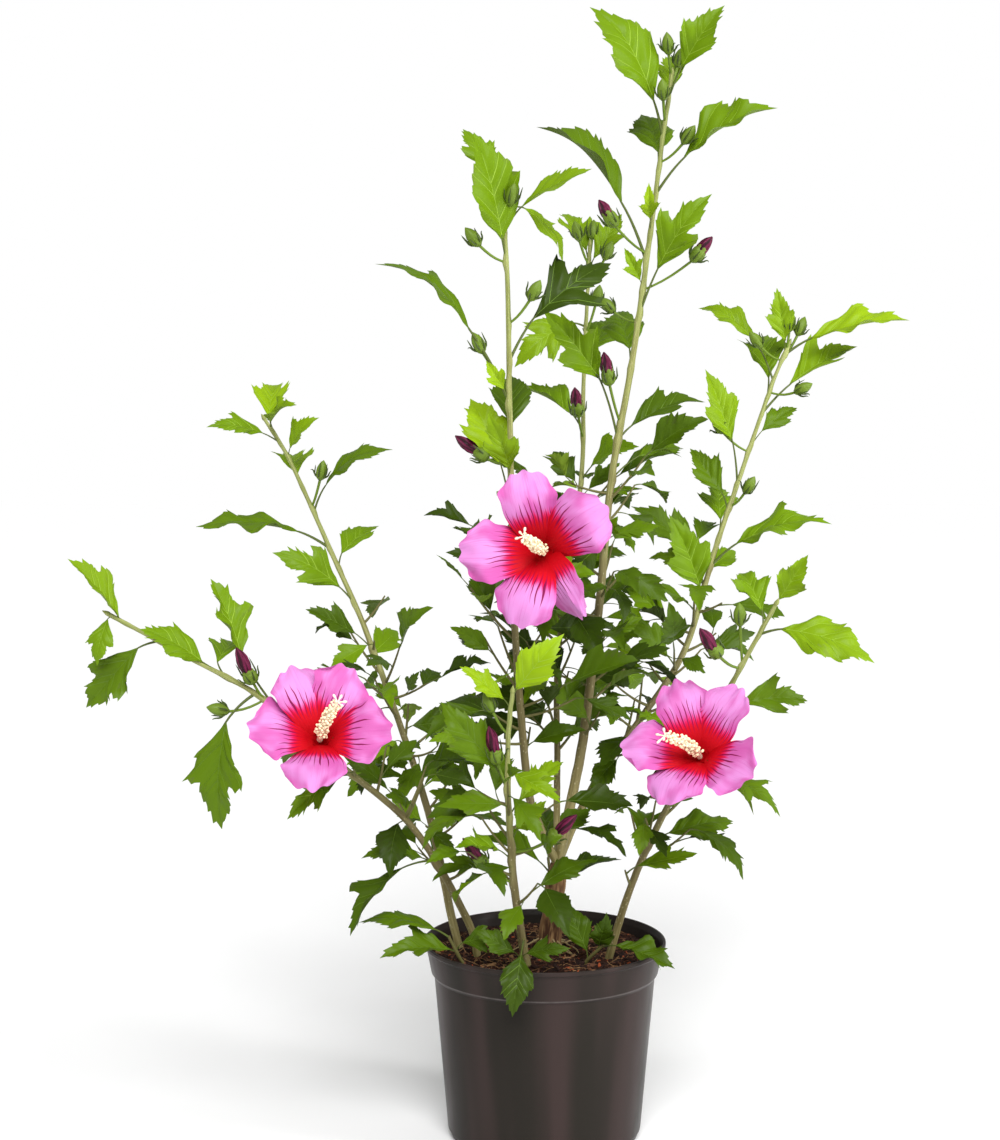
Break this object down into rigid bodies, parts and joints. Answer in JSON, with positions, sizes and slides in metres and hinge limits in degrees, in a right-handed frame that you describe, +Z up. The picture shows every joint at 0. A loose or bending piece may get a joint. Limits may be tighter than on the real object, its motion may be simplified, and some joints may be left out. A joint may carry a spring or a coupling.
{
  "type": "potted hibiscus shrub",
  "caption": "Multi-stemmed garden hibiscus shrub with large open blooms, buds and lobed leaves, growing in a plain round nursery pot.",
  "frame": {"origin": "middle of the pot's flat underside", "axes": "+Z up along the plant's height, -Y towards the front of the plant, where its blooms face, +X to the right as seen from the front"},
  "size_m": [0.6428, 0.4186, 0.8815],
  "materials": {
    "pot": "satin dark brown-grey moulded plastic",
    "compost": "rough peat and bark compost",
    "bark": "matt bark",
    "foliage": "satin green leaves on thin stems",
    "petal": "soft pink petals"
  },
  "bodies": {
    "root": {"bloom_left": "petal", "bloom_middle": "petal", "bloom_right": "petal", "foot_back_leaves": "foliage", "foot_front_leaves": "foliage", "foot_left_leaves": "foliage", "foot_right_leaves": "foliage", "front_bough": "bark", "front_leaves": "foliage", "inner_left_bough": "bark", "inner_left_low_leaves": "foliage", "inner_left_top_leaves": "foliage", "left_arch_bough": "bark", "left_arch_low_leaves": "foliage", "left_arch_tip_leaves": "foliage", "left_bough": "bark", "left_low_leaves": "foliage", "left_top_leaves": "foliage", "low_right_bough": "bark", "low_right_leaves": "foliage", "middle_bough": "bark", "middle_low_leaves": "foliage", "middle_top_leaves": "foliage", "pot": "pot", "right_bough": "bark", "right_low_leaves": "foliage", "right_top_leaves": "foliage", "soil": "compost", "tall_bough": "bark", "tall_low_leaves": "foliage", "tall_middle_leaves": "foliage", "tall_top_leaves": "foliage", "trunk": "bark"}
  },
  "joints": []
}
